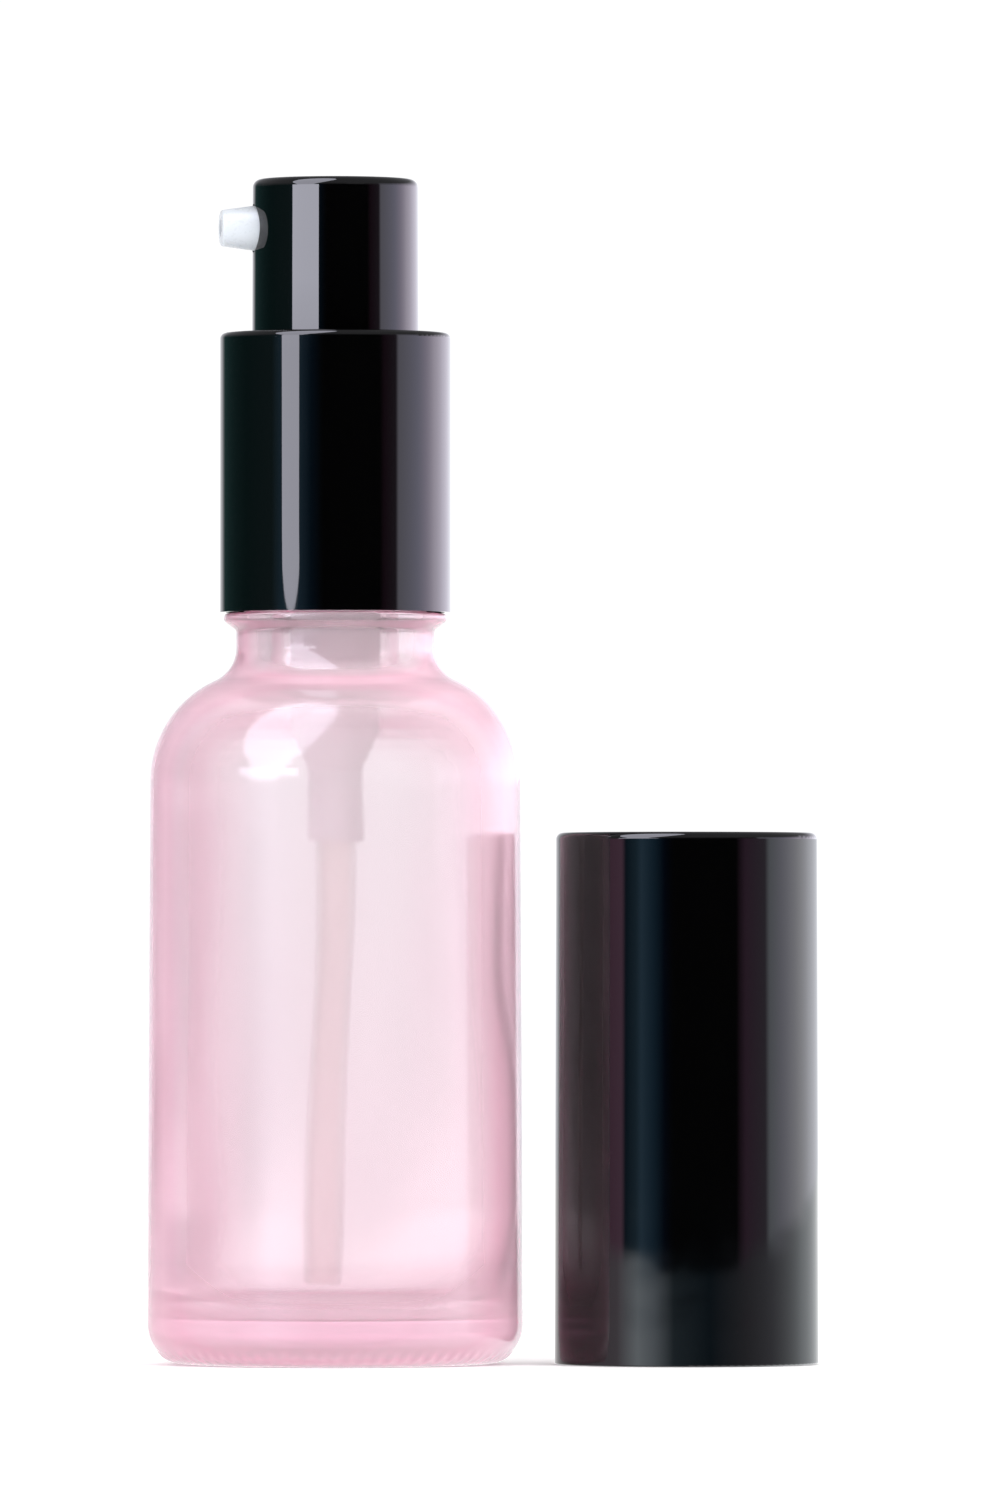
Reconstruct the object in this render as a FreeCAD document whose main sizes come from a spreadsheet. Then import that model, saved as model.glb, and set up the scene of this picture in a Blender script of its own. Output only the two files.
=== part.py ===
"""A 30 ml round glass bottle with a screw-on dispensing pump and a pull-off overcap, in millimetres.

The bottle stands on z = 0 with its axis on Z. The overcap stands beside it on +X. The spout points
to -X, turned a little towards -Y. Every piece that turns about an axis is one lathe outline, and
what isn't round is padded, pocketed or swept on it.
"""

import FreeCAD, Part

import math
import os

import Sketcher
from FreeCAD import Placement, Rotation, Vector

# Driving dimensions, by piece. Heights are above the surface that the bottle stands on.
SIZES = {
    # shared: how deep a ridge's foot is sunk, how far a cutter runs past, and a push fit's play
    "sunk": 0.1,
    "run_out": 1.0,
    "fit_play": 0.02,
    # glass bottle
    "body_foot_radius": 16.72,
    "body_top_radius": 16.42,
    "glass_wall": 2.7,
    "heel_round": 3.5,
    "base_push_up": 1.2,
    "base_dome_radius": 9.5,
    "base_dome_round": 2.5,
    "base_ring_radius": 11.8,
    "base_ring_round": 0.6,
    "floor_height": 4.0,
    "floor_round": 3.0,
    "shoulder_height": 58.15,
    "shoulder_round": 9.8,
    "neck_foot_height": 61.65,
    "neck_foot_round": 3.2,
    "neck_radius": 8.8,
    "neck_bore_radius": 5.7,
    "bore_foot_round": 5.0,
    "bead_radius": 9.9,
    "bead_foot_height": 65.25,
    "bead_low_height": 66.05,
    "bead_top_height": 66.75,
    "bead_round": 0.35,
    "lip_height": 78.25,
    "lip_round": 0.6,
    # screw thread, the same pitch on the glass and in the closure
    "thread_pitch": 3.0,
    "thread_rise": 4.5,
    "thread_start_height": 71.05,
    "thread_root_radius": 8.1,
    "thread_crest_radius": 8.85,
    "thread_foot_width": 1.4,
    "thread_crest_width": 0.6,
    "thread_drop": 1.1,
    "closure_root_radius": 9.05,
    "closure_crest_radius": 8.3,
    # neck gasket
    "gasket_thickness": 0.8,
    "gasket_bore_radius": 4.1,
    "flange_radius": 8.0,
    # pump housing
    "flange_thickness": 1.0,
    "housing_radius": 4.0,
    "housing_bore_radius": 3.3,
    "cone_top_height": 56.85,
    "cone_foot_height": 52.95,
    "spring_floor_height": 57.85,
    "tail_radius": 2.35,
    "tail_foot_height": 46.45,
    "ball_chamber_radius": 1.9,
    "ball_chamber_floor": 55.45,
    "inlet_radius": 0.9,
    "vent_radius": 0.35,
    "vent_height": 71.85,
    # dip tube
    "tube_radius": 1.65,
    "tube_bore_radius": 1.15,
    "tube_top_height": 52.25,
    "tube_foot_height": 7.0,
    # inlet ball and its retainer
    "ball_radius": 1.4,
    "ball_play": 0.03,
    "retainer_thickness": 0.6,
    "retainer_radius": 3.25,
    "retainer_bore_radius": 1.9,
    "retainer_bar_width": 0.7,
    # return spring
    "spring_radius": 2.25,
    "spring_wire_radius": 0.22,
    "spring_turns": 6.0,
    # stem guide
    "guide_plug_radius": 3.28,
    "guide_foot_height": 74.45,
    "guide_flange_radius": 7.6,
    "guide_flange_thickness": 1.0,
    "guide_tower_radius": 3.5,
    "guide_top_radius": 3.2,
    "guide_top_height": 84.75,
    "guide_round": 0.3,
    "guide_bore_radius": 2.08,
    # stem
    "stem_radius": 2.0,
    "stem_bore_radius": 1.1,
    "stem_foot_radius": 2.5,
    "stem_foot_height": 71.75,
    "stem_shoulder_height": 74.35,
    "stem_top_height": 98.25,
    # plunger
    "plunger_head_radius": 2.6,
    "plunger_head_height": 67.65,
    "plunger_head_top": 68.35,
    "plunger_radius": 1.08,
    "plunger_bore_radius": 0.6,
    "plunger_bore_height": 68.65,
    "plunger_top_height": 75.75,
    "port_radius": 0.3,
    "port_height": 69.0,
    # piston seal
    "seal_bore_radius": 1.13,
    "seal_sleeve_radius": 1.9,
    "seal_foot_height": 68.4,
    "seal_web_low": 70.05,
    "seal_web_high": 70.85,
    "seal_ring_radius": 2.75,
    "seal_lip_radius": 3.25,
    "seal_lip_width": 0.25,
    "seal_lip_low": 68.75,
    "seal_lip_high": 73.45,
    # threaded closure
    "closure_radius": 9.7,
    "closure_foot_height": 67.45,
    "closure_top_thickness": 1.0,
    "closure_hole_radius": 4.6,
    "closure_play": 0.03,
    # collar shell
    "collar_radius": 10.25,
    "collar_wall": 0.5,
    "collar_foot_height": 66.85,
    "collar_top_height": 91.7,
    "collar_top_thickness": 0.8,
    "collar_hole_radius": 7.75,
    "collar_hole_round": 0.2,
    "collar_round": 0.5,
    # actuator shell
    "shell_foot_radius": 7.42,
    "shell_foot_round": 0.2,
    "shell_top_radius": 7.35,
    "shell_bore_radius": 6.65,
    "shell_foot_height": 87.75,
    "shell_top_height": 105.4,
    "shell_top_thickness": 1.05,
    "shell_round": 0.75,
    "shell_hole_radius": 2.15,
    # actuator insert
    "post_radius": 3.2,
    "post_foot_height": 91.25,
    "insert_radius": 6.6,
    "insert_rim_width": 0.7,
    "insert_rim_foot": 94.25,
    "insert_top_thickness": 1.0,
    "insert_boss_radius": 2.6,
    "boss_inset": 0.2,
    "channel_radius": 1.0,
    "channel_foot_height": 97.75,
    "channel_top_height": 101.8,
    # spout
    "spout_height": 101.0,
    "spout_turn": 8.0,
    "spout_root": 3.5,
    "spout_plug_length": 3.3,
    "spout_plug_radius": 1.88,
    "spout_foot_radius": 2.06,
    "spout_foot": 6.95,
    "spout_tip_radius": 1.6,
    "spout_tip": 10.3,
    "spout_tip_round": 0.25,
    "spout_bore_radius": 0.9,
    "spout_tip_bore_radius": 0.8,
    # overcap
    "cap_offset": 31.25,
    "cap_foot_radius": 11.75,
    "cap_foot_round": 0.15,
    "cap_top_radius": 11.6,
    "cap_height": 47.25,
    "cap_top_thickness": 0.9,
    "cap_bore_radius": 11.15,
    "cap_draft": 0.2,
    "cap_round": 0.6,
    "liner_radius": 11.1,
    "liner_bore_radius": 10.45,
    "liner_foot": 0.8,
    "liner_top_thickness": 0.6,
    "liner_play": 0.05,
    "rib_radius": 10.3,
    "rib_width": 0.8,
    "rib_foot": 2.5,
    "rib_length": 18.0,
    "rib_lead": 0.4,
    "rib_count": 6.0,
}

doc = FreeCAD.newDocument("PumpBottle")
sheet = doc.addObject("Spreadsheet::Sheet", "Sizes")
for row, (alias, value) in enumerate(SIZES.items(), start=1):
    sheet.set(f"A{row}", alias)
    sheet.set(f"B{row}", str(value))
    sheet.setAlias(f"B{row}", alias)
doc.recompute()

ORIGIN, ACROSS, UP = (-1, 1), -1, -2  # a sketch's root point, its level axis and its upright axis


def bound(text):
    """Turn an expression in the sheet's names into one that refers to the sheet."""
    words = []
    for word in text.replace("(", "( ").replace(")", " )").split():
        words.append(f"Sizes.{word}" if word in SIZES else word)
    return " ".join(words)


def size(text):
    """Give the value of an expression in the sheet's names."""
    value = sheet.evalExpression(bound(text))
    return float(getattr(value, "Value", value))


def new_body(name):
    """Start a piece whose label names its file."""
    body = doc.addObject("PartDesign::Body", name)
    body.Label = name
    return body


def new_sketch(body, name, role="XZ_Plane"):
    """Add a sketch on one of the body's own origin planes."""
    sketch = body.newObject("Sketcher::SketchObject", name)
    plane = next(f for f in body.Origin.OriginFeatures if f.Role == role)
    sketch.AttachmentSupport = (plane, [""])
    sketch.MapMode = "FlatFace"
    return sketch


def bind(sketch, kind, where, text):
    """Add a dimension to a sketch and bind it to the sheet."""
    index = sketch.addConstraint(Sketcher.Constraint(kind, *where, size(text)))
    sketch.setExpression(f"Constraints[{index}]", bound(text))


def place_point(sketch, geometry, point, across, up):
    """Hold a sketch point at the two bound distances from the sketch's root point."""
    for kind, axis, text in (("DistanceX", UP, across), ("DistanceY", ACROSS, up)):
        if abs(size(text)) < 1e-9:
            sketch.addConstraint(Sketcher.Constraint("PointOnObject", geometry, point, axis))
        else:
            bind(sketch, kind, (*ORIGIN, geometry, point), text)


def round_corner(before, corner, after, radius):
    """Find where a round leaves both sides of a corner, and the arc between them."""
    to_before = (before - corner).normalize()
    to_after = (after - corner).normalize()
    half = to_before.getAngle(to_after) / 2
    reach = radius / math.tan(half)
    leave, join = corner + to_before * reach, corner + to_after * reach
    centre = corner + (to_before + to_after).normalize() * (radius / math.sin(half))
    left_turn = (corner - before).cross(after - corner).z > 0
    first, last = (leave, join) if left_turn else (join, leave)
    start, end = (math.atan2(p.y - centre.y, p.x - centre.x) for p in (first, last))
    arc = Part.ArcOfCircle(Part.Circle(centre, Vector(0, 0, 1), radius), start, end)
    return leave, join, arc, left_turn


def outline(sketch, corners):
    """Draw a closed outline. A corner is (across, up) or (across, up, round), in the sheet's names."""
    count = len(corners)
    points = [Vector(size(c[0]), size(c[1]), 0) for c in corners]
    ends, rounds = [], {}
    for i, corner in enumerate(corners):
        if len(corner) == 3:
            rounds[i] = round_corner(points[i - 1], points[i], points[(i + 1) % count], size(corner[2]))
            ends.append(rounds[i][:2])
        else:
            ends.append((points[i], points[i]))
    lines = []
    for i in range(count):
        side = Part.LineSegment(ends[i][1], ends[(i + 1) % count][0])
        lines.append(sketch.addGeometry(side, False))
    for i, corner in enumerate(corners):
        before, after = lines[i - 1], lines[i]
        if i not in rounds:
            sketch.addConstraint(Sketcher.Constraint("Coincident", before, 2, after, 1))
            place_point(sketch, after, 1, corner[0], corner[1])
            continue
        arc = sketch.addGeometry(rounds[i][2], False)
        first, last = (1, 2) if rounds[i][3] else (2, 1)
        sketch.addConstraint(Sketcher.Constraint("Tangent", before, 2, arc, first))
        sketch.addConstraint(Sketcher.Constraint("Tangent", arc, last, after, 1))
        apex = sketch.addGeometry(Part.Point(points[i]), True)
        sketch.addConstraint(Sketcher.Constraint("PointOnObject", apex, 1, before))
        sketch.addConstraint(Sketcher.Constraint("PointOnObject", apex, 1, after))
        place_point(sketch, apex, 1, corner[0], corner[1])
        bind(sketch, "Radius", (arc,), corner[2])


def disc(sketch, across, up, radius):
    """Draw one circle with its centre and radius bound."""
    centre = Vector(size(across), size(up), 0)
    circle = sketch.addGeometry(Part.Circle(centre, Vector(0, 0, 1), size(radius)), False)
    place_point(sketch, circle, 3, across, up)
    bind(sketch, "Radius", (circle,), radius)


def lathe(body, corners, axis="V_Axis"):
    """Turn an outline about the sketch's upright axis, or its level one."""
    sketch = new_sketch(body, body.Name + "_outline")
    outline(sketch, corners)
    turned = body.newObject("PartDesign::Revolution", body.Name + "_turned")
    turned.Profile = sketch
    turned.ReferenceAxis = (sketch, [axis])
    turned.Angle = 360
    return turned


def drill(body, name, radius, height, depth, through=False):
    """Cut a round hole from the Z axis out to -X at a height, or through to both sides."""
    sketch = new_sketch(body, name + "_circle", "YZ_Plane")
    disc(sketch, "0", height, radius)
    hole = body.newObject("PartDesign::Pocket", name)
    hole.Profile = sketch
    hole.SideType = "Symmetric" if through else "One side"
    hole.Reversed = False
    hole.setExpression("Length", bound(depth))
    return hole


def thread(body, root, crest, height):
    """Wind a ridge about the Z axis, from its root radius to its crest radius."""
    sketch = new_sketch(body, body.Name + "_thread_outline")
    foot, tip = "thread_foot_width / 2", "thread_crest_width / 2"
    root = f"{root} - sunk" if size(crest) > size(root) else f"{root} + sunk"
    outline(
        sketch,
        [
            (root, f"{height} - {foot}"),
            (crest, f"{height} - {tip}"),
            (crest, f"{height} + {tip}"),
            (root, f"{height} + {foot}"),
        ],
    )
    ridge = body.newObject("PartDesign::AdditiveHelix", body.Name + "_thread")
    ridge.Profile = sketch
    ridge.ReferenceAxis = (sketch, ["V_Axis"])
    ridge.Mode = "pitch-height-angle"
    ridge.setExpression("Pitch", bound("thread_pitch"))
    ridge.setExpression("Height", bound("thread_rise"))
    return ridge


def glass_bottle():
    """Thick round bottle: pushed-up base, round shoulder, bead and threaded finish."""
    body = new_body("glass_bottle")
    slope = "( neck_foot_height - shoulder_height ) / ( body_top_radius - neck_radius )"
    inner = "body_top_radius - glass_wall"
    # the inside of the shoulder runs beside the outside of it, one wall further in
    drop = f"glass_wall * sqrt( 1 + ( {slope} ) ^ 2 )"
    inner_shoulder = f"shoulder_height + glass_wall * {slope} - {drop}"
    inner_neck_foot = f"{inner_shoulder} + ( {inner} - neck_bore_radius ) * {slope}"
    lathe(
        body,
        [
            ("0", "base_push_up"),
            ("base_dome_radius", "base_push_up", "base_dome_round"),
            ("base_ring_radius", "0", "base_ring_round"),
            ("body_foot_radius", "0", "heel_round"),
            ("body_top_radius", "shoulder_height", "shoulder_round"),
            ("neck_radius", "neck_foot_height", "neck_foot_round"),
            ("neck_radius", "bead_foot_height"),
            ("bead_radius", "bead_low_height", "bead_round"),
            ("bead_radius", "bead_top_height", "bead_round"),
            ("thread_root_radius", "bead_top_height"),
            ("thread_root_radius", "lip_height", "lip_round"),
            ("neck_bore_radius", "lip_height", "lip_round"),
            ("neck_bore_radius", inner_neck_foot, "bore_foot_round"),
            (inner, inner_shoulder, "shoulder_round - glass_wall"),
            ("body_foot_radius - glass_wall", "floor_height", "floor_round"),
            ("0", "floor_height"),
        ],
    )
    thread(body, "thread_root_radius", "thread_crest_radius", "thread_start_height")
    return body


def neck_gasket():
    """Foam washer on the glass lip."""
    body = new_body("neck_gasket")
    lathe(
        body,
        [
            ("gasket_bore_radius", "lip_height"),
            ("flange_radius", "lip_height"),
            ("flange_radius", "lip_height + gasket_thickness"),
            ("gasket_bore_radius", "lip_height + gasket_thickness"),
        ],
    )
    return body


FLANGE_FOOT = "lip_height + gasket_thickness"
FLANGE_TOP = f"{FLANGE_FOOT} + flange_thickness"


def pump_housing():
    """Pump cylinder: flange, bore, ball chamber with its seat, and the tail that takes the tube."""
    body = new_body("pump_housing")
    seat_foot = "ball_chamber_floor - ( ball_chamber_radius - inlet_radius )"
    lathe(
        body,
        [
            ("tube_radius", "tail_foot_height"),
            ("tail_radius", "tail_foot_height"),
            ("tail_radius", "cone_foot_height"),
            ("housing_radius", "cone_top_height"),
            ("housing_radius", FLANGE_FOOT),
            ("flange_radius", FLANGE_FOOT),
            ("flange_radius", FLANGE_TOP),
            ("housing_bore_radius", FLANGE_TOP),
            ("housing_bore_radius", "spring_floor_height"),
            ("ball_chamber_radius", "spring_floor_height"),
            ("ball_chamber_radius", "ball_chamber_floor"),
            ("inlet_radius", seat_foot),
            ("inlet_radius", "tube_top_height"),
            ("tube_radius", "tube_top_height"),
        ],
    )
    drill(body, "vent", "vent_radius", "vent_height", "housing_radius + run_out")
    return body


def dip_tube():
    """Straight tube from the housing's tail to just above the floor."""
    body = new_body("dip_tube")
    lathe(
        body,
        [
            ("tube_bore_radius", "tube_foot_height"),
            ("tube_radius", "tube_foot_height"),
            ("tube_radius", "tube_top_height"),
            ("tube_bore_radius", "tube_top_height"),
        ],
    )
    return body


def inlet_ball():
    """Check ball, held a hair above its conical seat."""
    ball = doc.addObject("Part::Sphere", "inlet_ball")
    ball.Label = "inlet_ball"
    ball.setExpression("Radius", bound("ball_radius"))
    # the seat is a 45 degree cone, so the centre is the radius times root two above its apex
    apex = "ball_chamber_floor - ball_chamber_radius"
    ball.setExpression("Placement.Base.z", bound(f"{apex} + ball_radius * sqrt( 2 ) + ball_play"))
    return ball


def ball_retainer():
    """Ring and bar on the housing's step: the spring stands on it and the ball stops against it."""
    body = new_body("ball_retainer")
    top = "spring_floor_height + retainer_thickness"
    lathe(
        body,
        [
            ("retainer_bore_radius", "spring_floor_height"),
            ("retainer_radius", "spring_floor_height"),
            ("retainer_radius", top),
            ("retainer_bore_radius", top),
        ],
    )
    sketch = new_sketch(body, "retainer_bar_outline")
    across = "retainer_bore_radius + sunk"
    outline(
        sketch,
        [
            (f"0 - ( {across} )", "spring_floor_height"),
            (across, "spring_floor_height"),
            (across, top),
            (f"0 - ( {across} )", top),
        ],
    )
    bar = body.newObject("PartDesign::Pad", "retainer_bar")
    bar.Profile = sketch
    bar.SideType = "Symmetric"
    bar.setExpression("Length", bound("retainer_bar_width"))
    return body


def return_spring():
    """Compression spring between the ball retainer and the plunger's head."""
    body = new_body("return_spring")
    sketch = new_sketch(body, "spring_wire")
    foot = "spring_floor_height + retainer_thickness + spring_wire_radius + fit_play"
    top = "plunger_head_height - spring_wire_radius - fit_play"
    disc(sketch, "spring_radius", foot, "spring_wire_radius")
    coil = body.newObject("PartDesign::AdditiveHelix", "spring_coil")
    coil.Profile = sketch
    coil.ReferenceAxis = (sketch, ["V_Axis"])
    coil.Mode = "height-turns-angle"
    coil.setExpression("Height", bound(f"{top} - ( {foot} )"))
    coil.setExpression("Turns", bound("spring_turns"))
    return body


def stem_guide():
    """Bush in the mouth of the housing, with a flange under the closure and a tower for the stem."""
    body = new_body("stem_guide")
    flange_top = f"{FLANGE_TOP} + guide_flange_thickness"
    lathe(
        body,
        [
            ("guide_bore_radius", "guide_foot_height"),
            ("guide_plug_radius", "guide_foot_height"),
            ("guide_plug_radius", FLANGE_TOP),
            ("guide_flange_radius", FLANGE_TOP),
            ("guide_flange_radius", flange_top),
            ("guide_tower_radius", flange_top),
            ("guide_top_radius", "guide_top_height", "guide_round"),
            ("guide_bore_radius", "guide_top_height"),
        ],
    )
    return body


def stem():
    """Hollow stem with a wider foot that stops under the guide."""
    body = new_body("stem")
    lathe(
        body,
        [
            ("stem_bore_radius", "stem_foot_height"),
            ("stem_foot_radius", "stem_foot_height"),
            ("stem_foot_radius", "stem_shoulder_height"),
            ("stem_radius", "stem_shoulder_height"),
            ("stem_radius", "stem_top_height"),
            ("stem_bore_radius", "stem_top_height"),
        ],
    )
    return body


def plunger():
    """Valve core in the foot of the stem, closed below, with a cross port above its head."""
    body = new_body("plunger")
    lathe(
        body,
        [
            ("0", "plunger_head_height"),
            ("plunger_head_radius", "plunger_head_height"),
            ("plunger_head_radius", "plunger_head_top"),
            ("plunger_radius", "plunger_head_top"),
            ("plunger_radius", "plunger_top_height"),
            ("plunger_bore_radius", "plunger_top_height"),
            ("plunger_bore_radius", "plunger_bore_height"),
            ("0", "plunger_bore_height"),
        ],
    )
    drill(body, "plunger_port", "port_radius", "port_height", "plunger_radius * 3", through=True)
    return body


def piston_seal():
    """Soft piston: a sleeve that covers the port, a web, and a lip up and a lip down."""
    body = new_body("piston_seal")
    lathe(
        body,
        [
            ("seal_bore_radius", "seal_foot_height"),
            ("seal_sleeve_radius", "seal_foot_height"),
            ("seal_sleeve_radius", "seal_web_low"),
            ("seal_ring_radius", "seal_web_low"),
            ("seal_lip_radius - seal_lip_width", "seal_lip_low"),
            ("seal_lip_radius", "seal_lip_low"),
            ("seal_lip_radius", "seal_lip_high"),
            ("seal_lip_radius - seal_lip_width", "seal_lip_high"),
            ("seal_ring_radius", "seal_web_high"),
            ("seal_bore_radius", "seal_web_high"),
        ],
    )
    return body


def threaded_closure():
    """Screw closure that draws the pump's flanges down on the gasket."""
    body = new_body("threaded_closure")
    web_foot = f"{FLANGE_TOP} + guide_flange_thickness + closure_play"
    web_top = f"{web_foot} + closure_top_thickness"
    lathe(
        body,
        [
            ("closure_root_radius", "closure_foot_height"),
            ("closure_radius", "closure_foot_height"),
            ("closure_radius", web_top),
            ("closure_hole_radius", web_top),
            ("closure_hole_radius", web_foot),
            ("closure_root_radius", web_foot),
        ],
    )
    # the closure's ridge runs under the glass one, at the same pitch
    lowered = "thread_start_height - thread_drop"
    thread(body, "closure_root_radius", "closure_crest_radius", lowered)
    return body


def collar_shell():
    """Bright sleeve over the closure, turned in at the top around the actuator."""
    body = new_body("collar_shell")
    inner = "collar_radius - collar_wall"
    under_top = "collar_top_height - collar_top_thickness"
    lathe(
        body,
        [
            (inner, "collar_foot_height"),
            ("collar_radius", "collar_foot_height"),
            ("collar_radius", "collar_top_height", "collar_round"),
            ("collar_hole_radius", "collar_top_height", "collar_hole_round"),
            ("collar_hole_radius", under_top),
            (inner, under_top),
        ],
    )
    return body


def turn_actuator(piece, angle="spout_turn"):
    """Turn an actuator piece about the Z axis to where the spout points."""
    piece.setExpression("Placement.Rotation.Angle", bound(angle))
    piece.Placement.Rotation.Axis = Vector(0, 0, 1)


def actuator_insert():
    """Inner moulding of the actuator: stem socket, channel, spout boss and a rim in the shell."""
    body = new_body("actuator_insert")
    top = "shell_top_height - shell_top_thickness - closure_play"
    under_top = f"{top} - insert_top_thickness"
    rim = "insert_radius - insert_rim_width"
    socket = "stem_radius + fit_play"
    lathe(
        body,
        [
            (socket, "post_foot_height"),
            ("post_radius", "post_foot_height"),
            ("post_radius", under_top),
            (rim, under_top),
            (rim, "insert_rim_foot"),
            ("insert_radius", "insert_rim_foot"),
            ("insert_radius", top),
            ("0", top),
            ("0", "stem_top_height + fit_play"),
            (socket, "stem_top_height + fit_play"),
        ],
    )
    sketch = new_sketch(body, "boss_circle", "YZ_Plane")
    disc(sketch, "0", "spout_height", "insert_boss_radius")
    boss = body.newObject("PartDesign::Pad", "boss")
    boss.Profile = sketch
    boss.Reversed = True
    boss.setExpression("Length", bound("insert_radius - boss_inset"))

    sketch = new_sketch(body, "socket_outline")
    level = "spout_height"
    outline(
        sketch,
        [
            ("0 - insert_radius - run_out", level),
            ("0 - insert_radius - run_out", f"{level} + spout_plug_radius"),
            ("0 - spout_root", f"{level} + spout_plug_radius"),
            ("0 - spout_root", f"{level} + spout_bore_radius"),
            ("0", f"{level} + spout_bore_radius"),
            ("0", level),
        ],
    )
    line = sketch.addGeometry(
        Part.LineSegment(Vector(-1, size(level), 0), Vector(1, size(level), 0)), True
    )
    sketch.addConstraint(Sketcher.Constraint("Horizontal", line))
    place_point(sketch, line, 1, "0 - 1", level)
    bind(sketch, "DistanceX", (line, 1, line, 2), "2")
    groove = body.newObject("PartDesign::Groove", "spout_socket")
    groove.Profile = sketch
    groove.ReferenceAxis = (sketch, ["Axis0"])
    groove.Angle = 360

    sketch = new_sketch(body, "channel_outline")
    outline(
        sketch,
        [
            ("0", "channel_foot_height"),
            ("channel_radius", "channel_foot_height"),
            ("channel_radius", "channel_top_height"),
            ("0", "channel_top_height"),
        ],
    )
    channel = body.newObject("PartDesign::Groove", "channel")
    channel.Profile = sketch
    channel.ReferenceAxis = (sketch, ["V_Axis"])
    channel.Angle = 360
    turn_actuator(body)
    return body


def spout():
    """Tapered nozzle along its own +X: a plug in the insert's socket, then the visible cone."""
    body = new_body("spout")
    lathe(
        body,
        [
            ("spout_root + fit_play", "spout_bore_radius"),
            ("spout_root + fit_play", "spout_plug_radius"),
            ("spout_root + spout_plug_length", "spout_plug_radius"),
            ("spout_foot", "spout_foot_radius"),
            ("spout_tip", "spout_tip_radius", "spout_tip_round"),
            ("spout_tip", "spout_tip_bore_radius"),
        ],
        axis="H_Axis",
    )
    turn_actuator(body, "180 + spout_turn")
    body.setExpression("Placement.Base.z", bound("spout_height"))
    return body


def actuator_shell():
    """Bright push button, closed on top, with a round hole for the spout."""
    body = new_body("actuator_shell")
    under_top = "shell_top_height - shell_top_thickness"
    lathe(
        body,
        [
            ("shell_bore_radius", "shell_foot_height"),
            ("shell_foot_radius", "shell_foot_height", "shell_foot_round"),
            ("shell_top_radius", "shell_top_height", "shell_round"),
            ("0", "shell_top_height"),
            ("0", under_top),
            ("shell_bore_radius", under_top),
        ],
    )
    drill(body, "spout_hole", "shell_hole_radius", "spout_height", "shell_foot_radius + run_out")
    turn_actuator(body)
    return body


def cap_shell():
    """Tall overcap, drawn in slightly towards its closed top, standing on its rim."""
    body = new_body("cap_shell")
    under_top = "cap_height - cap_top_thickness"
    lathe(
        body,
        [
            ("cap_bore_radius", "0"),
            ("cap_foot_radius", "0", "cap_foot_round"),
            ("cap_top_radius", "cap_height", "cap_round"),
            ("0", "cap_height"),
            ("0", under_top),
            ("cap_bore_radius - cap_draft", under_top),
        ],
    )
    body.setExpression("Placement.Base.x", bound("cap_offset"))
    return body


def cap_liner():
    """Lining of the overcap, with upright ribs near its mouth that grip the collar."""
    body = new_body("cap_liner")
    top = "cap_height - cap_top_thickness - liner_play"
    under_top = f"{top} - liner_top_thickness"
    lathe(
        body,
        [
            ("liner_bore_radius", "liner_foot"),
            ("liner_radius", "liner_foot"),
            ("liner_radius - cap_draft", top),
            ("0", top),
            ("0", under_top),
            ("liner_bore_radius", under_top),
        ],
    )
    sketch = new_sketch(body, "rib_outline")
    outline(
        sketch,
        [
            ("rib_radius", "rib_foot + rib_lead"),
            ("liner_bore_radius + sunk", "rib_foot"),
            ("liner_bore_radius + sunk", "rib_foot + rib_length"),
            ("rib_radius", "rib_foot + rib_length - rib_lead"),
        ],
    )
    rib = body.newObject("PartDesign::Pad", "rib")
    rib.Profile = sketch
    rib.SideType = "Symmetric"
    rib.setExpression("Length", bound("rib_width"))
    doc.recompute()
    ribs = body.newObject("PartDesign::PolarPattern", "ribs")
    ribs.Originals = [rib]
    ribs.Axis = (sketch, ["V_Axis"])
    ribs.Angle = 360
    ribs.setExpression("Occurrences", bound("rib_count"))
    body.Tip = ribs
    body.setExpression("Placement.Base.x", bound("cap_offset"))
    return body


PIECES = [
    glass_bottle,
    neck_gasket,
    pump_housing,
    dip_tube,
    inlet_ball,
    ball_retainer,
    return_spring,
    stem_guide,
    stem,
    plunger,
    piston_seal,
    threaded_closure,
    collar_shell,
    actuator_insert,
    spout,
    actuator_shell,
    cap_shell,
    cap_liner,
]
pieces = [make() for make in PIECES]
doc.recompute()

for item in doc.Objects:
    if {"Invalid", "Error"} & set(item.State):
        raise RuntimeError(f"{item.Label} failed: {item.State}")
os.makedirs("parts", exist_ok=True)
for piece in pieces:
    shape = piece.Shape
    if shape.isNull() or not shape.isValid() or len(shape.Solids) != 1:
        raise RuntimeError(f"{piece.Label} isn't one valid solid")
    box = shape.BoundBox
    print(
        f"{piece.Label:18s} {shape.Volume:10.2f} mm3  x {box.XMin:7.2f} {box.XMax:7.2f}"
        f"  y {box.YMin:7.2f} {box.YMax:7.2f}  z {box.ZMin:7.2f} {box.ZMax:7.2f}"
    )
    shape.exportStep(f"parts/{piece.Label}.step")
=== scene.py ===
"""A glass foundation bottle with a press pump, and its overcap standing beside it.

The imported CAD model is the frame. The glass, the dip tube and the spring are remade here with finer
meshes, and every other piece is the CAD node with a procedural material. Lengths are metres, and
the outlines of the remade pieces are in millimetres.
"""

import math

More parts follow.
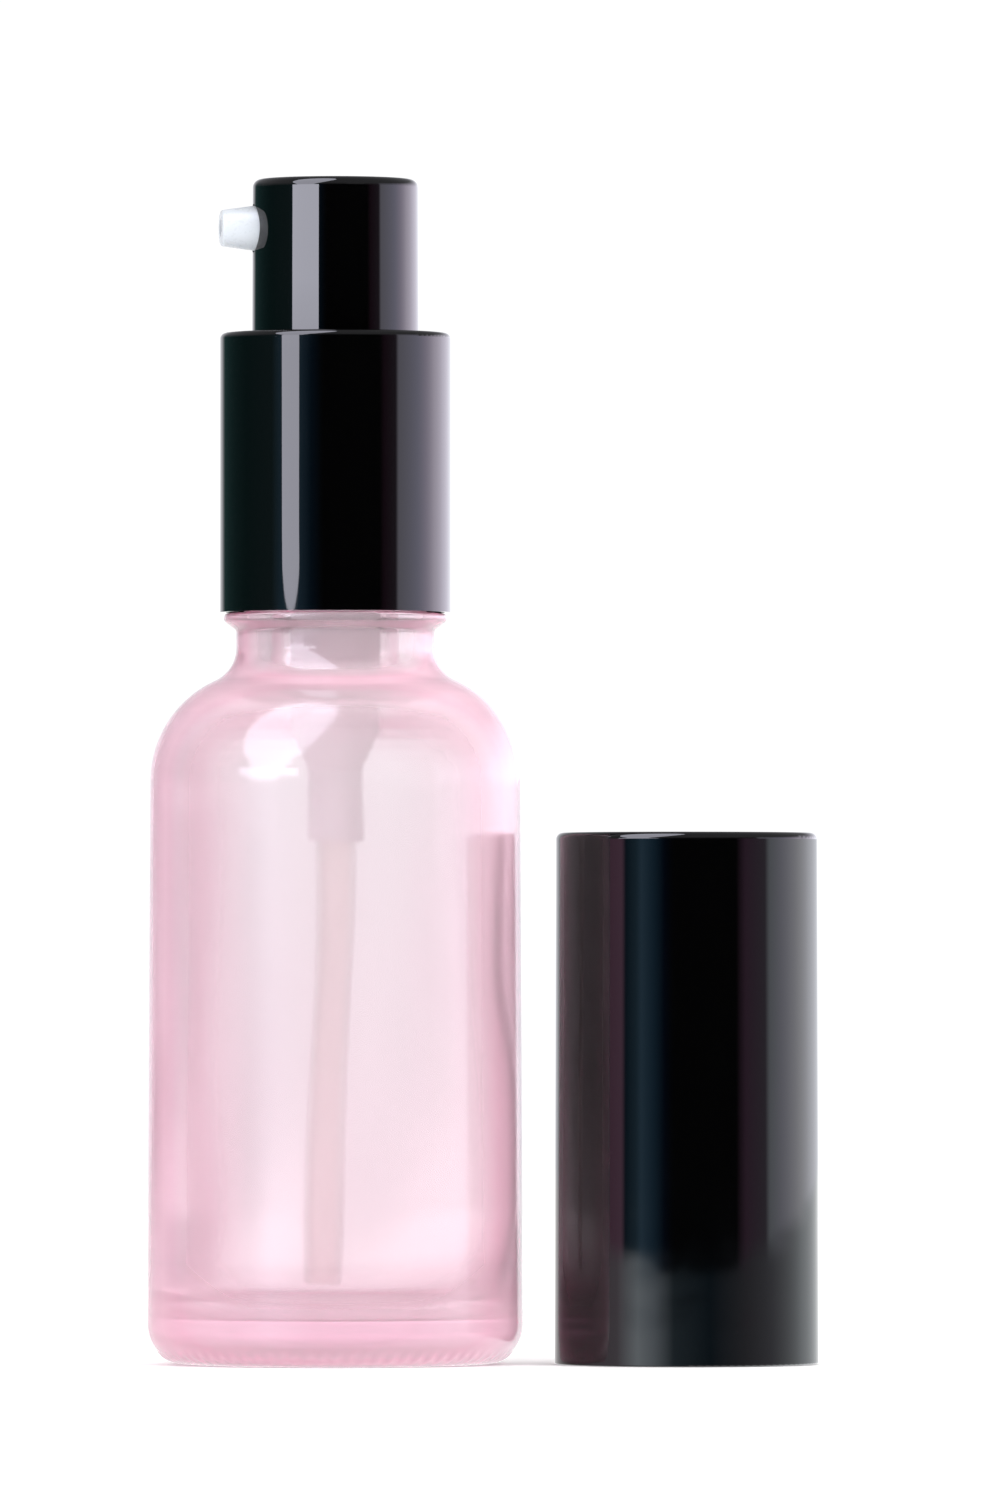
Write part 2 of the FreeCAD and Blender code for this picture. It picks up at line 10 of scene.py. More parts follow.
import bpy
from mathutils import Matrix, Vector


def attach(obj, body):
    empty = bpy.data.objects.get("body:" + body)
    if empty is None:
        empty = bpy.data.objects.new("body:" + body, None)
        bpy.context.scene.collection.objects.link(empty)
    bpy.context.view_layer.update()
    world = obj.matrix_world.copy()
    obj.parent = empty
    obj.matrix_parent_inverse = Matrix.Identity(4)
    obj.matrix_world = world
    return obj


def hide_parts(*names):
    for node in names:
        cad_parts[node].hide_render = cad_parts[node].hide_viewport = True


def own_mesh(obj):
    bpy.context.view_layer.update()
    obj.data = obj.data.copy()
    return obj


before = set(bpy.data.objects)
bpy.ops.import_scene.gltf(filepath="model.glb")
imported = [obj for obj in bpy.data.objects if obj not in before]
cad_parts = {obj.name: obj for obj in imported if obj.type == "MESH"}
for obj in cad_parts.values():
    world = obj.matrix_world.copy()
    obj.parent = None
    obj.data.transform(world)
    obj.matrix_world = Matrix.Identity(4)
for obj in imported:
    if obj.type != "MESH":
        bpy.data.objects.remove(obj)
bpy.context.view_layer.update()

MM = 0.001
scene = bpy.context.scene
scene.view_settings.view_transform = "Standard"
# light takes many turns inside the glass and the pump before it gets out
scene.cycles.max_bounces = 32
scene.cycles.glossy_bounces = 16
scene.cycles.transmission_bounces = 24


# ---------------------------------------------------------------- materials

def new_material(name):
    """Start a node material and give back its node tree and its Principled shader."""
    mat = bpy.data.materials.new(name)
    mat.use_nodes = True
    tree = mat.node_tree
    return mat, tree, tree.nodes["Principled BSDF"]


def add(tree, kind, **values):
    """Add a node. Keys that name an input set it, and the others set the node itself."""
    node = tree.nodes.new(kind)
    for key, value in values.items():
        label = key.replace("_", " ").title()
        if label in [socket.name for socket in node.inputs]:
            node.inputs[label].default_value = value
        else:
            setattr(node, key, value)
    return node


def place(tree):
    """Object coordinates, so that a pattern keeps to its piece."""
    return add(tree, "ShaderNodeTexCoord").outputs["Object"]


def maths(tree, operation, *terms, clamp=False):
    """Work something out from numbers and node outputs."""
    node = add(tree, "ShaderNodeMath", operation=operation, use_clamp=clamp)
    for socket, term in zip(node.inputs, terms):
        if isinstance(term, (int, float)):
            socket.default_value = term
        else:
            tree.links.new(term, socket)
    return node.outputs[0]


def stretch(tree, scale):
    """Object coordinates scaled apart along X, Y and Z, for marks that run one way."""
    mapping = add(tree, "ShaderNodeMapping")
    mapping.inputs["Scale"].default_value = scale
    tree.links.new(place(tree), mapping.inputs["Vector"])
    return mapping.outputs["Vector"]


def height_of(tree):
    """Height above the floor, in metres."""
    split = add(tree, "ShaderNodeSeparateXYZ")
    tree.links.new(place(tree), split.inputs[0])
    return split.outputs["Z"]


def noise(tree, size, detail=3.0, vector=None):
    """Noise whose features are about this size."""
    node = add(tree, "ShaderNodeTexNoise", scale=1 / size, detail=detail)
    tree.links.new(vector or place(tree), node.inputs["Vector"])
    return node.outputs["Fac"]


def spread(tree, value, low, high, from_low=0.3, from_high=0.7):
    """Map one range onto another, and hold the value at its ends.

    The range it comes from is that of a noise pattern, which keeps to the middle of 0 to 1, unless
    another is given."""
    node = add(tree, "ShaderNodeMapRange")
    node.inputs["From Min"].default_value = from_low
    node.inputs["From Max"].default_value = from_high
    node.inputs["To Min"].default_value = low
    node.inputs["To Max"].default_value = high
    tree.links.new(value, node.inputs["Value"])
    return node.outputs["Result"]


def tint(tree, value, first, second):
    """Blend two colours by a 0 to 1 pattern. A colour is three numbers or a node's output."""
    node = add(tree, "ShaderNodeMix", data_type="RGBA")
    for socket, colour in zip([s for s in node.inputs if s.type == "RGBA"], (first, second)):
        if isinstance(colour, tuple):
            socket.default_value = (*colour, 1)
        else:
            tree.links.new(colour, socket)
    tree.links.new(value, node.inputs["Factor"])
    return next(s for s in node.outputs if s.type == "RGBA")


def bump(tree, shader, height, depth, strength):
    """Raise the surface by a pattern."""
    node = add(tree, "ShaderNodeBump", strength=strength, distance=depth)
    tree.links.new(height, node.inputs["Height"])
    tree.links.new(node.outputs["Normal"], shader.inputs["Normal"])


def pink_glass():
    """Glass that is tinted right through, so that thick places are deeper pink.

    It's milkier and pinker at a slant, at the heel and at the foot of the neck, and its skin is
    faintly uneven."""
    mat, tree, shader = new_material("pink_glass")
    height = height_of(tree)
    slant = add(tree, "ShaderNodeLayerWeight", blend=0.5).outputs["Facing"]
    neck_foot = 60 * MM
    off_neck = maths(tree, "ABSOLUTE", maths(tree, "SUBTRACT", height, neck_foot))
    milky = maths(
        tree,
        "ADD",
        spread(tree, height, 0.22, 0.0, 5 * MM, 9 * MM),
        spread(tree, off_neck, 0.2, 0.0, 0.6 * MM, 2.6 * MM),
    )
    clear = maths(tree, "SUBTRACT", spread(tree, slant, 0.94, 0.56, 0.1, 0.6), milky)
    tree.links.new(clear, shader.inputs["Transmission Weight"])
    low = spread(tree, height, 0.2, 0.0, 6 * MM, 58 * MM)
    steep = maths(tree, "MULTIPLY", slant, slant)
    deep = maths(tree, "MULTIPLY_ADD", steep, 3.2, maths(tree, "ADD", low, milky), clamp=True)
    tree.links.new(
        tint(tree, deep, (1.0, 0.995, 0.998), (1.0, 0.67, 0.78)), shader.inputs["Base Color"]
    )
    shader.inputs["Roughness"].default_value = 0.12
    shader.inputs["IOR"].default_value = 1.5
    bump(tree, shader, noise(tree, 7 * MM, 1.0), 0.012 * MM, 0.6)
    tinted = add(tree, "ShaderNodeVolumeAbsorption", density=19.0)
    tinted.inputs["Color"].default_value = (0.96, 0.0, 0.5, 1)
    tree.links.new(tinted.outputs["Volume"], tree.nodes["Material Output"].inputs["Volume"])
    return mat


def black_gloss():
    """Deep black moulded plastic: slight orange peel, and a fine haze of handling marks."""
    mat, tree, shader = new_material("black_gloss")
    specks = noise(tree, 0.5 * MM, 4.0)
    tree.links.new(
        tint(tree, specks, (0.0004, 0.0004, 0.0005), (0.0009, 0.0009, 0.001)),
        shader.inputs["Base Color"],
    )
    haze = noise(tree, 9 * MM, 5.0)
    tree.links.new(spread(tree, haze, 0.01, 0.03), shader.inputs["Roughness"])
    bump(tree, shader, noise(tree, 5 * MM, 1.0), 0.006 * MM, 0.5)
    return mat


def moulded(name, dark, light, roughness, through=0.0, scatter=0.0, bend=1.5):
    """Moulded plastic: faint mottling and a fine grain. It lets light through if it's asked to."""
    mat, tree, shader = new_material(name)
    tree.links.new(tint(tree, noise(tree, 3 * MM), dark, light), shader.inputs["Base Color"])
    rough = noise(tree, 0.3 * MM, 4.0)
    tree.links.new(
        spread(tree, rough, roughness * 0.8, min(1.0, roughness * 1.2)), shader.inputs["Roughness"]
    )
    shader.inputs["Transmission Weight"].default_value = through
    shader.inputs["IOR"].default_value = bend
    if scatter:
        shader.inputs["Subsurface Weight"].default_value = scatter
        shader.inputs["Subsurface Radius"].default_value = (1.0, 0.9, 0.8)
        shader.inputs["Subsurface Scale"].default_value = 1.5 * MM
    bump(tree, shader, rough, 0.01 * MM, 0.3)
    return mat


def foam():
    """Closed-cell foam: small round cells."""
    mat, tree, shader = new_material("white_foam")
    cells = add(tree, "ShaderNodeTexVoronoi", scale=1 / (0.18 * MM))
    tree.links.new(place(tree), cells.inputs["Vector"])
    tree.links.new(
        tint(tree, cells.outputs["Distance"], (0.80, 0.80, 0.77), (0.90, 0.90, 0.88)),
        shader.inputs["Base Color"],
    )
    shader.inputs["Roughness"].default_value = 0.85
    bump(tree, shader, cells.outputs["Distance"], 0.04 * MM, 0.7)
    return mat


def drawn_steel():
    """Drawn wire: bright metal with fine lines."""
    mat, tree, shader = new_material("drawn_steel")
    lines = noise(tree, 0.25 * MM, 3.0, stretch(tree, (1, 1, 0.2)))
    tree.links.new(
        tint(tree, lines, (0.78, 0.78, 0.79), (0.88, 0.88, 0.89)), shader.inputs["Base Color"]
    )
    shader.inputs["Metallic"].default_value = 1.0
    tree.links.new(spread(tree, lines, 0.18, 0.34), shader.inputs["Roughness"])
    return mat


def studio_white():
    """The pale floor."""
    mat, tree, shader = new_material("studio_white")
    tree.links.new(
        tint(tree, noise(tree, 60 * MM), (0.93, 0.93, 0.93), (0.95, 0.95, 0.95)),
        shader.inputs["Base Color"],
    )
    shader.inputs["Roughness"].default_value = 0.9
    shader.inputs["Specular IOR Level"].default_value = 0.1
    shader.inputs["Emission Color"].default_value = (1, 1, 1, 1)
    shader.inputs["Emission Strength"].default_value = 0.25
    return mat


GLASS = pink_glass()
BLACK = black_gloss()
STEEL = drawn_steel()
NATURAL = moulded(
    "natural_plastic", (0.98, 0.94, 0.93), (1.0, 0.96, 0.955), 0.35, through=0.95, bend=1.15
)
WHITE = moulded("white_plastic", (0.90, 0.90, 0.89), (0.96, 0.96, 0.95), 0.3)
LOOKS = {
    "collar_shell": BLACK,
    "actuator_shell": BLACK,
    "cap_shell": BLACK,
    "cap_liner": moulded("black_satin", (0.012, 0.012, 0.013), (0.022, 0.022, 0.024), 0.45),
    "spout": moulded("milky_plastic", (0.63, 0.67, 0.72), (0.68, 0.72, 0.77), 0.3, scatter=0.3),
    "pump_housing": moulded("housing_plastic", (1.0, 0.97, 0.965), (1.0, 0.985, 0.98), 0.5),
    "neck_gasket": foam(),
    "inlet_ball": STEEL,
    "ball_retainer": NATURAL,
    "stem_guide": NATURAL,
    "piston_seal": NATURAL,
    "stem": WHITE,
    "plunger": WHITE,
    "threaded_closure": WHITE,
    "actuator_insert": WHITE,
}


# ---------------------------------------------------------------- mesh helpers

def rounded(corners, step=math.radians(6)):
    """Points along an outline in the (radius, height) plane, with its rounds as arcs.

    A corner is (radius, height) or (radius, height, round), in millimetres."""
    points = []
    count = len(corners)
    for i, corner in enumerate(corners):
        here = Vector(corner[:2])
        if len(corner) == 2:
            points.append(here)
            continue
        before = (Vector(corners[i - 1][:2]) - here).normalized()
        after = (Vector(corners[(i + 1) % count][:2]) - here).normalized()
        half = before.angle(after) / 2
        centre = here + (before + after).normalized() * corner[2] / math.sin(half)
        leave = here + before * corner[2] / math.tan(half) - centre
        turn = math.pi - 2 * half
        sign = 1 if before.x * after.y - before.y * after.x < 0 else -1
        parts = max(2, math.ceil(turn / step))
        for k in range(parts + 1):
            a = sign * turn * k / parts
            points.append(
                centre
                + Vector((
                    leave.x * math.cos(a) - leave.y * math.sin(a),
                    leave.x * math.sin(a) + leave.y * math.cos(a),
                ))
            )
    return [(p.x, p.y) for p in points]


def divided(points, longest):
    """The same outline, with no span longer than this."""
    out = [points[0]]
    for (r0, z0), (r1, z1) in zip(points, points[1:]):
        parts = max(1, math.ceil(math.hypot(r1 - r0, z1 - z0) / longest))
        for k in range(1, parts + 1):
            out.append((r0 + (r1 - r0) * k / parts, z0 + (z1 - z0) * k / parts))
    return out


def new_object(name, verts, faces, material, sharp=40):
    """Make a smooth mesh object whose corners over the sharp angle stay crisp."""
    mesh = bpy.data.meshes.new(name)
    mesh.from_pydata([tuple(v) for v in verts], [], faces)
    mesh.validate()
    mesh.shade_smooth()
    mesh.set_sharp_from_angle(angle=math.radians(sharp))
    mesh.materials.append(material)
    obj = bpy.data.objects.new(name, mesh)
    scene.collection.objects.link(obj)
    return obj


def turned(name, points, material, segments, change):
    """Turn an open outline that starts and ends on the Z axis, in millimetres, into a closed mesh.

    change(radius, height, angle, index) gives a point's own place, for what isn't quite round."""
    verts = [(0, 0, points[0][1] * MM)]
    for i, (radius, height) in enumerate(points[1:-1], start=1):
        for k in range(segments):
            angle = 2 * math.pi * k / segments
            r, z = change(radius, height, angle, i)
            verts.append((r * math.cos(angle) * MM, r * math.sin(angle) * MM, z * MM))
    verts.append((0, 0, points[-1][1] * MM))
    rings = len(points) - 2
    faces = []
    for k in range(segments):
        n = (k + 1) % segments
        faces.append((0, 1 + n, 1 + k))
        for j in range(rings - 1):
            low, high = 1 + j * segments, 1 + (j + 1) * segments
            faces.append((low + k, low + n, high + n, high + k))
        top = 1 + (rings - 1) * segments
        faces.append((len(verts) - 1, top + k, top + n))
    return new_object(name, verts, faces, material)


# ---------------------------------------------------------------- glass bottle

def held(value):
    """Keep a share between 0 and 1."""
    return max(0.0, min(1.0, value))


def thread_ridge(height, angle):
    """How far the screw thread stands out of the neck here. Its ends fade out."""
    start, pitch, rise, crest = 71.05, 3.0, 4.5, 0.75
    half_wide, flank, fade = 0.7, 0.4, 8
    out = 0.0
    for turn in range(-1, 3):
        along = turn + angle / (2 * math.pi)
        if 0 <= along * pitch <= rise:
            ends = held(min(along, rise / pitch - along) * fade)
            off = abs(height - start - along * pitch)
            out = max(out, held((half_wide - off) / flank) * ends)
    return crest * out


def blown(height, angle):
    """How far the inside is off round here: the wall is thick on the left, and thin low on the
    right, with faint ripples. The floor and the shoulder are even."""
    even_floor, even_shoulder, fade = 5, 57, 8
    share = held((height - even_floor) / fade) * held((even_shoulder - height) / fade)
    low = 1 / (1 + math.exp((height - 30) / 2.5))
    across = math.cos(angle)
    side = 0.5 * across * abs(across) - 0.2 * across + 0.9 * low * max(0.0, across) ** 2
    ripple = 0.06 * math.sin(3 * angle + height * 0.11) + 0.04 * math.sin(7 * angle - height * 0.2)
    return share * (side + ripple)


def glass_bottle():
    """The bottle: even outside, blown inside, knurled heel and a screw thread.

    It has four columns of points to a knurl."""
    body_foot, body, wall = 16.72, 16.42, 2.7
    heel, floor, dome, dome_radius, ring = 3.5, 4.0, 1.2, 9.5, 11.8
    shoulder, foot, lip, lip_round = 58.15, 61.65, 78.25, 0.6
    neck, bore, root, thread_foot = 8.8, 5.7, 8.1, 67.8
    bead, bead_foot, bead_low, bead_top = 9.9, 65.25, 66.05, 66.75
    knurls, knurl_top, knurl_deep = 76, 1.3, 0.11
    slope = (foot - shoulder) / (body - neck)
    inner_shoulder = shoulder + wall * slope - wall * math.hypot(1, slope)
    inner_foot = inner_shoulder + (body - wall - bore) * slope
    outside = divided(
        rounded([
            (0, dome),
            (dome_radius, dome, 2.5),
            (ring, 0, 0.6),
            (body_foot, 0, heel),
            (body, shoulder, 9.8),
            (neck, foot, 3.2),
            (neck, bead_foot, 0.5),
            (bead, bead_low, 0.35),
            (bead, bead_top, 0.35),
            (root, bead_top, 0.3),
            (root, lip, lip_round),
            (bore + 0.7, lip),
        ])[:-1],
        longest=0.45,
    )
    inside = divided(
        rounded([
            (bore + 0.7, lip),
            (bore, lip, lip_round),
            (bore, inner_foot, 5.0),
            (body - wall, inner_shoulder, 7.1),
            (body_foot - wall, floor, 3.0),
            (0, floor),
        ]),
        longest=0.8,
    )

    def change(radius, height, angle, index):
        """Add the thread and the knurls outside, and the unevenness inside."""
        if index >= len(outside):
            return (radius + blown(height, angle) if radius > 12 else radius), height
        if thread_foot < height < lip - lip_round:
            radius += thread_ridge(height, angle)
        elif 0 < height < knurl_top and radius > body_foot - heel:
            lean = math.acos(1 - height / heel)
            out = knurl_deep * math.sin(math.pi * height / knurl_top)
            out *= 0.5 + 0.5 * math.cos(knurls * angle)
            radius += out * math.sin(lean)
            height -= out * math.cos(lean)
        return radius, height

    return turned("bottle_glass", outside + inside, GLASS, 4 * knurls, change)


glass = glass_bottle()
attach(glass, "bottle")
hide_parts("glass_bottle")


# ---------------------------------------------------------------- dip tube and spring

def swept(name, path, rings, material, sides):
    """Sweep round sections along a path, in millimetres.

    With one radius it's a solid wire, and with two it's a tube with its outer and inner radius."""
    aside = Vector((0.31, 0.95, 0.02))  # a direction that no steep path runs along
    count = len(path)
    verts, faces = [], []
    for radius in rings:
        for i, here in enumerate(path):
            run = (path[min(i + 1, count - 1)] - path[max(i - 1, 0)]).normalized()
            out = run.cross(aside) if abs(run.z) >= 0.9 else Vector((here.x, here.y, 0))
            out = (out - run * out.dot(run)).normalized()
            up = run.cross(out)
            for k in range(sides):
                a = 2 * math.pi * k / sides
                verts.append((here + (out * math.cos(a) + up * math.sin(a)) * radius) * MM)
    for shell in range(len(rings)):
        base = shell * count * sides
        for i in range(count - 1):
            for k in range(sides):
                n = (k + 1) % sides
                a, b = base + i * sides, base + (i + 1) * sides
                quad = (a + k, a + n, b + n, b + k)
                faces.append(quad if shell == 0 else quad[::-1])
    last = (count - 1) * sides
    if len(rings) == 1:
        faces.append(tuple(reversed(range(sides))))
        faces.append(tuple(last + k for k in range(sides)))
    else:
        inner = count * sides
        for k in range(sides):
            n = (k + 1) % sides
            faces.append((k, inner + k, inner + n, n))
            faces.append((last + k, last + n, inner + last + n, inner + last + k))
    return new_object(name, verts, faces, material)


def tube_path(steps=40):
    """The dip tube was cut from a coil, so that it leans and bows a little to the left."""
    low, tall, held_from = 7.0, 45.25, 0.87
    points = []
    for i in range(steps + 1):
        t = i / steps
        hang = held((held_from - t) / held_from) ** 1.25
        points.append(Vector((-1.15 * hang, 0.3 * hang, low + tall * t)))
    return points


def coil_path(radius, wire, low, high, turns, steps=36):
    """The middle of a spring's wire. Its first and last turns lie flat."""
    points = []
    gain = (high - low - 6 * wire) / (turns - 2)
    for i in range(turns * steps + 1):
        t = i / steps
        flat = min(t, 1) + max(0, t - turns + 1)
        z = low + wire + flat * 2 * wire + max(0, min(t - 1, turns - 2)) * gain
        angle = 2 * math.pi * t
        points.append(Vector((radius * math.cos(angle), radius * math.sin(angle), z)))
    return points


tube = swept("tube_hose", tube_path(), rings=(1.65, 1.1), material=NATURAL, sides=40)
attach(tube, "pump_body")
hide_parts("dip_tube")

WIRE = 0.22
coil = coil_path(radius=2.25, wire=WIRE, low=58.45, high=67.65, turns=7)
spring = swept("spring_wire", coil, rings=(WIRE,), material=STEEL, sides=10)
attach(spring, "pump_body")
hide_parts("return_spring")
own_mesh(spring)


# ---------------------------------------------------------------- CAD nodes

for node, look in LOOKS.items():
    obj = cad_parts[node]
    obj.data.materials.clear()
    obj.data.materials.append(look)


# ---------------------------------------------------------------- studio

def unseen(obj, *kinds):
    """Hide a studio object from these kinds of ray."""
    for kind in kinds:
        setattr(obj, "visible_" + kind, False)
    return obj


def disc(name, radius, height, material, segments=96):
    """A flat round sheet facing up."""
    ring = [2 * math.pi * k / segments for k in range(segments)]
    verts = [(radius * math.cos(a), radius * math.sin(a), height) for a in ring]
    obj = new_object(name, verts, [tuple(range(segments))], material)
    return obj


# the shiny pieces see the room's lower band in place of the floor
unseen(disc("floor", radius=0.9, height=-0.05 * MM, material=studio_white()), "glossy")

KEY_AZIMUTH = math.radians(-42.5)
KEY_DISTANCE = 0.6
KEY_HEIGHT = 0.09


def softbox():
    """The key lamp: a tall curved box over the left shoulder, with a narrow lower end."""
    # elevation, half width and shift to the side in degrees, from the lower tip to the top end
    outline = [(-1.1, 0.0, -2), (-1.0, 4.0, -2), (-0.8, 7.2, -2), (-0.5, 9.0, -2)]
    outline += [(-0.1, 9.1, -2.4), (2.6, 9.3, -2.4), (2.8, 19.4, 0.6), (6.3, 19.4, 0.6)]
    outline += [(7.3, 11, 0)]
    for angle in (-62, -55, -45, -30, -15, 0, 15, 30, 45, 55, 65, 74, 82, 90):
        t = math.radians(angle)
        outline.append((45 + 40 * math.sin(t), 22 * math.cos(t), 0))
    out = Vector((math.sin(KEY_AZIMUTH), -math.cos(KEY_AZIMUTH), 0))
    side = Vector((math.cos(KEY_AZIMUTH), math.sin(KEY_AZIMUTH), 0))
    centre = Vector((0, 0, KEY_HEIGHT))
    columns = 16
    verts, faces = [], []
    for elevation, half, shift in outline:
        e = math.radians(elevation)
        along = out * math.cos(e) + Vector((0, 0, math.sin(e)))
        for k in range(columns + 1):
            b = math.radians(shift + half * (2 * k / columns - 1))
            verts.append(centre + (along * math.cos(b) + side * math.sin(b)) * KEY_DISTANCE)
    for row in range(len(outline) - 1):
        for k in range(columns):
            a = row * (columns + 1) + k
            faces.append((a, a + 1, a + columns + 2, a + columns + 1))
    mat = bpy.data.materials.new("softbox")
    mat.use_nodes = True
    tree = mat.node_tree
    tree.nodes.clear()
    glow = add(tree, "ShaderNodeEmission")
    glow.inputs["Color"].default_value = (0.87, 0.87, 1, 1)
    end = add(tree, "ShaderNodeOutputMaterial")
    tree.links.new(glow.outputs[0], end.inputs["Surface"])
    # weaker at its foot, and weaker again high up, where the shoulder of the glass sees it
    height = height_of(tree)
    strength = maths(
        tree,
        "MULTIPLY",
        spread(tree, height, 7.9, 10.0, 0.112, 0.125),
        spread(tree, height, 1.0, 0.7, 0.155, 0.18),
    )
    tree.links.new(strength, glow.inputs["Strength"])
    obj = new_object("softbox", verts, faces, mat)
    return unseen(obj, "camera", "diffuse", "transmission", "shadow")


softbox()


def look_at(obj, target):
    """Point a lamp or camera at a place."""
    obj.rotation_mode = "QUATERNION"
    obj.rotation_quaternion = (Vector(target) - obj.location).to_track_quat("-Z", "Y")


def fill_lamp(azimuth=40, distance=0.60, height=0.40, size=0.40, power=2.5):
    """A soft lamp for the white pieces, which doesn't show in the shiny ones.

    Azimuth 0 is in front, and positive is to the right."""
    data = bpy.data.lights.new("fill", "AREA")
    data.shape = "SQUARE"
    data.size = size
    data.energy = power
    lamp = bpy.data.objects.new("fill", data)
    turn = math.radians(azimuth)
    lamp.location = (distance * math.sin(turn), -distance * math.cos(turn), height)
    look_at(lamp, (0, 0, 0.06))
    scene.collection.objects.link(lamp)
    return unseen(lamp, "camera", "glossy", "transmission")


fill_lamp()


# Bands of light round the room, by azimuth in degrees: behind, left, front, right, behind.
BACK_LEFT = [
    (-180, (1.05, 1.05, 1.10)),
    (-158, (0.90, 0.90, 0.95)),
    (-146, (0.05, 0.12, 0.12)),
    (-100, (0.03, 0.09, 0.09)),
]
# what reflections see above eye level
UPPER = BACK_LEFT + [
    (-66, (0.07, 0.14, 0.15)),
    (-56, (0.17, 0.35, 0.50)),
    (-46, (0.15, 0.40, 0.60)),
    (-34, (0.15, 0.30, 0.45)),
    (-24, (0.02, 0.08, 0.15)),
    (-12, (0, 0, 0)),
    (46, (0, 0, 0)),
    (51, (0.12, 0.05, 0.09)),
    (64, (0.20, 0.15, 0.20)),
    (67, (1.60, 1.55, 1.85)),
    (92, (2.05, 2.00, 2.60)),
    (104, (2.60, 2.35, 3.00)),
    (118, (3.30, 3.00, 3.60)),
    (136, (3.00, 2.80, 3.30)),
    (166, (1.60, 1.60, 1.75)),
    (180, (1.05, 1.05, 1.10)),
]
# what reflections see level with the eye
LEVEL = BACK_LEFT + [
    (-76, (0.75, 0.36, 0.56)),
    (-60, (1.00, 0.52, 0.80)),
    (-56, (0.05, 0.12, 0.20)),
    (-46, (0.15, 0.32, 0.47)),
    (-41, (0.28, 0.55, 0.82)),
    (-30, (0.10, 0.27, 0.45)),
    (-20, (0, 0.02, 0.07)),
    (-12, (0, 0, 0)),
    (44, (0, 0, 0)),
    (53, (0.42, 0.22, 0.37)),
    (73, (0.42, 0.35, 0.45)),
    (78, (1.35, 1.45, 1.60)),
    (92, (1.75, 1.75, 2.05)),
    (104, (2.05, 2.05, 2.30)),
    (118, (2.20, 2.20, 2.35)),
    (136, (2.05, 2.08, 2.25)),
    (166, (1.10, 1.12, 1.20)),
    (180, (1.05, 1.05, 1.10)),
]
# what reflections see below eye level
TABLE = [
    (-180, (1.25, 1.25, 1.25)),
    (-120, (0.30, 0.20, 0.23)),
    (-64, (1.00, 0.88, 1.00)),
    (-44, (2.40, 2.65, 2.85)),
    (-30, (1.60, 1.80, 2.00)),
    (-12, (0.25, 0.35, 0.42)),
    (20, (0.07, 0.13, 0.18)),
    (54, (0.35, 0.35, 0.40)),
    (80, (0.60, 0.60, 0.68)),
    (120, (1.45, 1.55, 1.62)),
    (180, (1.25, 1.25, 1.25)),
]
# what light through the glass sees: it's dimmer on the left
THROUGH = [
    (-180, (1, 1, 1)),
    (-164, (1, 1, 1)),
    (-152, (0.84, 0.84, 0.85)),
    (-140, (0.66, 0.64, 0.66)),
    (-122, (0.62, 0.60, 0.62)),
    (-105, (0.45, 0.42, 0.43)),
    (-62, (0.40, 0.37, 0.38)),
    (-35, (0.75, 0.74, 0.75)),
    (40, (0.75, 0.74, 0.75)),
    (90, (0.9, 0.9, 0.9)),
    (130, (1, 1, 1)),
    (180, (1, 1, 1)),
]


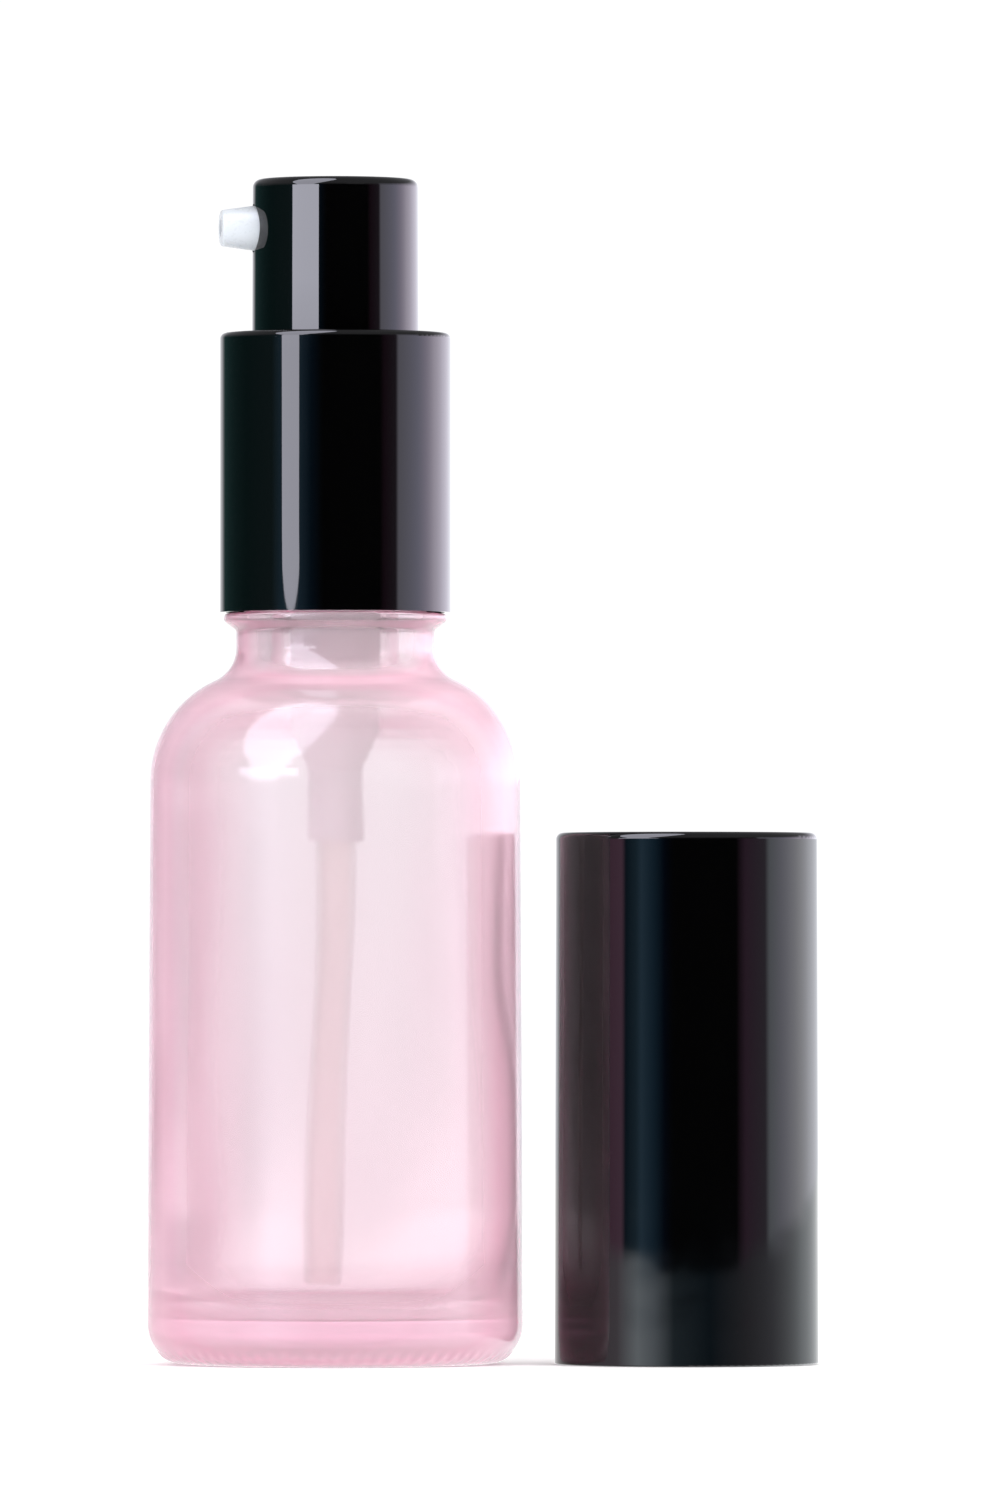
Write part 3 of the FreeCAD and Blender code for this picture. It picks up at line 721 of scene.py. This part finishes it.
def studio_world():
    """A white backdrop for the camera and for diffuse light, and bands of light for the rest."""
    world = bpy.data.worlds.new("studio")
    scene.world = world
    world.use_nodes = True
    tree = world.node_tree
    tree.nodes.clear()
    out = add(tree, "ShaderNodeOutputWorld")
    parts = add(tree, "ShaderNodeSeparateXYZ")
    tree.links.new(add(tree, "ShaderNodeTexCoord").outputs["Generated"], parts.inputs[0])
    to_front = maths(tree, "MULTIPLY", parts.outputs["Y"], -1)
    azimuth = maths(tree, "ARCTAN2", parts.outputs["X"], to_front)
    share = spread(tree, azimuth, 0.0, 1.0, -math.pi, math.pi)

    def band(stops, brightest):
        """A band of light round the room, given back as a share of the brightest."""
        ramp = add(tree, "ShaderNodeValToRGB")
        tree.links.new(share, ramp.inputs["Fac"])
        elements = ramp.color_ramp.elements
        while len(elements) < len(stops):
            elements.new(0.5)
        # a stop that moves past another changes places with it, so the colours come last
        for element, (degrees, _) in zip(elements, stops):
            element.position = (degrees + 180) / 360
        for element, (_, colour) in zip(elements, stops):
            element.color = (*(part / brightest for part in colour), 1)
        return ramp.outputs["Color"]

    def mixed(low, high, first, second):
        """The first colour below one height on the sky, and the second above another."""
        return tint(tree, spread(tree, parts.outputs["Z"], 0.0, 1.0, low, high), first, second)

    # reflections: the room changes with height, and overhead and underfoot it's grey and even
    room_light = 4.0
    room = mixed(0.0165, 0.0200, band(LEVEL, room_light), band(UPPER, room_light))
    room = mixed(-0.0121, -0.0107, band(TABLE, room_light), room)
    room = mixed(0.07, 0.40, room, (0.10, 0.10, 0.106))
    room = mixed(-0.95, -0.35, (0.19, 0.19, 0.195), room)
    through = mixed(0.3, 0.8, band(THROUGH, 1.0), (1.3, 1.25, 1.27))

    def glow(strength, colour=None):
        """Light of this strength, white unless it's given a colour."""
        node = add(tree, "ShaderNodeBackground", strength=strength)
        node.inputs["Color"].default_value = (1, 1, 1, 1)
        if colour:
            tree.links.new(colour, node.inputs["Color"])
        return node.outputs[0]

    def choose(which, first, second):
        """The second light for this kind of ray, and the first for the others."""
        node = add(tree, "ShaderNodeMixShader")
        for socket, source in zip(node.inputs, (which, first, second)):
            tree.links.new(source, socket)
        return node.outputs[0]

    rays = add(tree, "ShaderNodeLightPath").outputs
    mirrored = maths(
        tree, "SUBTRACT", rays["Is Glossy Ray"], rays["Is Transmission Ray"], clamp=True
    )
    sky = choose(rays["Is Diffuse Ray"], glow(1.0, through), glow(1.0))
    sky = choose(rays["Is Camera Ray"], sky, glow(1.04))
    sky = choose(mirrored, sky, glow(room_light, room))
    tree.links.new(sky, out.inputs["Surface"])


studio_world()

# the camera stands a metre and a half away, at a third of the object's height, with a long lens,
# and looks very slightly up
VIEW_DISTANCE = 1.5
VIEW_HEIGHT = 0.035
VIEW_ASIDE = 0.0147
AIM_HEIGHT = 0.05478
FRAME_TALL = 0.1331
SENSOR = 36
camera_data = bpy.data.cameras.new("camera")
camera_data.sensor_width = SENSOR
camera_data.lens = SENSOR * VIEW_DISTANCE / FRAME_TALL
camera = bpy.data.objects.new("camera", camera_data)
camera.location = (VIEW_ASIDE, -VIEW_DISTANCE, VIEW_HEIGHT)
look_at(camera, (VIEW_ASIDE, 0, AIM_HEIGHT))
scene.collection.objects.link(camera)
scene.camera = camera
